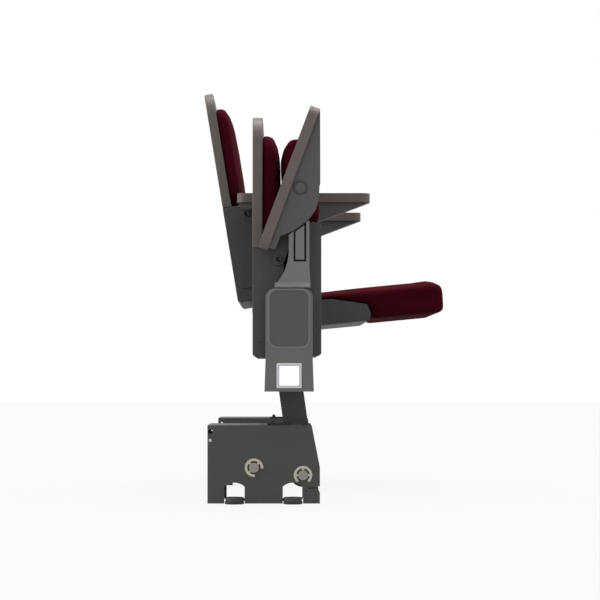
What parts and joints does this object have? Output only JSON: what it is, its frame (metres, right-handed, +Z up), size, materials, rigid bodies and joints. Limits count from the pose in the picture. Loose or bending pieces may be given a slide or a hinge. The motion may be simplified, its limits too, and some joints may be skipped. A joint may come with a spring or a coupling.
{
  "type": "folding auditorium seat row",
  "caption": "Folding row of linked stadium seats with tip-up cushions, moving backs, lift-up armrests and a beam on folding legs.",
  "frame": {"origin": "on the deck, midway along the row and midway between the front and rear deck bolts", "axes": "+X to the front of the seats, +Y along the row, +Z up"},
  "size_m": [0.5416, 1.155, 0.8991],
  "materials": {
    "base_paint": "textured dark grey powder coat",
    "zinc": "zinc plated",
    "bush_bronze": "sintered bronze",
    "foot_rubber": "matt",
    "washer_black": "black",
    "frame_paint": "matt dark grey powder coat",
    "standard_paint": "satin grey",
    "panel_plastic": "fine grain",
    "plate_plastic": "fine grain",
    "light_metal": "satin",
    "light_lens": "white diffuser",
    "cover_plastic": "fine grain",
    "shell_taupe": "satin",
    "upholstery": "woven"
  },
  "bodies": {
    "bases": {"base_pan_near": "base_paint", "base_pan_far": "base_paint", "base_cover_near": "base_paint", "base_cover_far": "base_paint", "fold_shaft_near": "zinc", "fold_shaft_far": "zinc", "lock_shaft_near": "zinc", "lock_shaft_far": "zinc", "shaft_clips": "zinc", "deck_pads": "foot_rubber", "deck_washers": "washer_black", "cover_screws": "zinc"},
    "lock_near": {"lock_hook_near": "frame_paint"},
    "lock_far": {"lock_hook_far": "frame_paint"},
    "row_frame": {"leg_near": "frame_paint", "leg_far": "frame_paint", "leg_bushes": "bush_bronze", "beam": "frame_paint", "upright_near": "standard_paint", "upright_mid": "standard_paint", "upright_far": "standard_paint", "upright_bolts": "zinc", "panel_near": "panel_plastic", "panel_mid": "panel_plastic", "panel_far": "panel_plastic", "panel_plates": "plate_plastic", "neck_inserts": "plate_plastic", "light_frames": "light_metal", "light_lenses": "light_lens", "link_hangers": "frame_paint", "link_pins": "zinc", "seat_pins": "zinc", "arm_pins": "frame_paint"},
    "seat_near": {"seat_frame_near": "frame_paint", "seat_cover_near": "cover_plastic", "seat_cushion_near": "upholstery"},
    "seat_far": {"seat_frame_far": "frame_paint", "seat_cover_far": "cover_plastic", "seat_cushion_far": "upholstery"},
    "link_near": {"links_near": "frame_paint"},
    "link_far": {"links_far": "frame_paint"},
    "back_near": {"back_brackets_near": "frame_paint", "back_bolts_near": "zinc", "back_cover_near": "cover_plastic", "back_shell_near": "shell_taupe", "back_cushion_near": "upholstery", "lumbar_pad_near": "upholstery"},
    "back_far": {"back_brackets_far": "frame_paint", "back_bolts_far": "zinc", "back_cover_far": "cover_plastic", "back_shell_far": "shell_taupe", "back_cushion_far": "upholstery", "lumbar_pad_far": "upholstery"},
    "arm_near": {"arm_housing_near": "panel_plastic", "arm_pad_near": "shell_taupe"},
    "arm_mid": {"arm_housing_mid": "panel_plastic", "arm_pad_mid": "shell_taupe"},
    "arm_far": {"arm_housing_far": "panel_plastic", "arm_pad_far": "shell_taupe"}
  },
  "joints": [
    {"name": "row_fold", "type": "hinge", "parent": "bases", "child": "row_frame", "pos_m": [0.0794, 0, 0.0584], "axis": [0, 1, 0], "range_deg": [0, 90]},
    {"name": "lock_near_turn", "type": "hinge", "parent": "bases", "child": "lock_near", "pos_m": [-0.0195, 0, 0.0735], "axis": [0, 1, 0], "range_deg": [0, 12]},
    {"name": "lock_far_turn", "type": "hinge", "parent": "bases", "child": "lock_far", "pos_m": [-0.0195, 0, 0.0735], "axis": [0, 1, 0], "range_deg": [0, 12]},
    {"name": "seat_near_fold", "type": "hinge", "parent": "row_frame", "child": "seat_near", "pos_m": [0.077, 0, 0.4055], "axis": [0, 1, 0], "range_deg": [0, 84.5]},
    {"name": "link_near_swing", "type": "hinge", "parent": "row_frame", "child": "link_near", "pos_m": [0.07, 0, 0.597], "axis": [0, 1, 0], "range_deg": [0, 82]},
    {"name": "back_near_tilt", "type": "hinge", "parent": "link_near", "child": "back_near", "pos_m": [0.03036, 0, 0.48926], "axis": [0, 1, 0], "range_deg": [-91.3, 0]},
    {"name": "seat_far_fold", "type": "hinge", "parent": "row_frame", "child": "seat_far", "pos_m": [0.077, 0, 0.4055], "axis": [0, 1, 0], "range_deg": [-84.5, 0]},
    {"name": "link_far_swing", "type": "hinge", "parent": "row_frame", "child": "link_far", "pos_m": [0.07, 0, 0.597], "axis": [0, 1, 0], "range_deg": [-82, 0]},
    {"name": "back_far_tilt", "type": "hinge", "parent": "link_far", "child": "back_far", "pos_m": [-0.04221, 0, 0.62126], "axis": [0, 1, 0], "range_deg": [0, 91.3]},
    {"name": "arm_near_lift", "type": "hinge", "parent": "row_frame", "child": "arm_near", "pos_m": [0.073, 0, 0.626], "axis": [0, 1, 0], "range_deg": [0, 69.5]},
    {"name": "arm_mid_lift", "type": "hinge", "parent": "row_frame", "child": "arm_mid", "pos_m": [0.073, 0, 0.626], "axis": [0, 1, 0], "range_deg": [-69.5, 0]},
    {"name": "arm_far_lift", "type": "hinge", "parent": "row_frame", "child": "arm_far", "pos_m": [0.073, 0, 0.626], "axis": [0, 1, 0], "range_deg": [-69.5, 0]}
  ],
  "couplings": [
    {"joint": "lock_far_turn", "follows": "lock_near_turn", "ratio": 1},
    {"joint": "link_near_swing", "follows": "seat_near_fold", "ratio": 0.97041},
    {"joint": "back_near_tilt", "follows": "seat_near_fold", "ratio": -1.0805},
    {"joint": "link_far_swing", "follows": "seat_far_fold", "ratio": 0.97041},
    {"joint": "back_far_tilt", "follows": "seat_far_fold", "ratio": -1.0805}
  ]
}
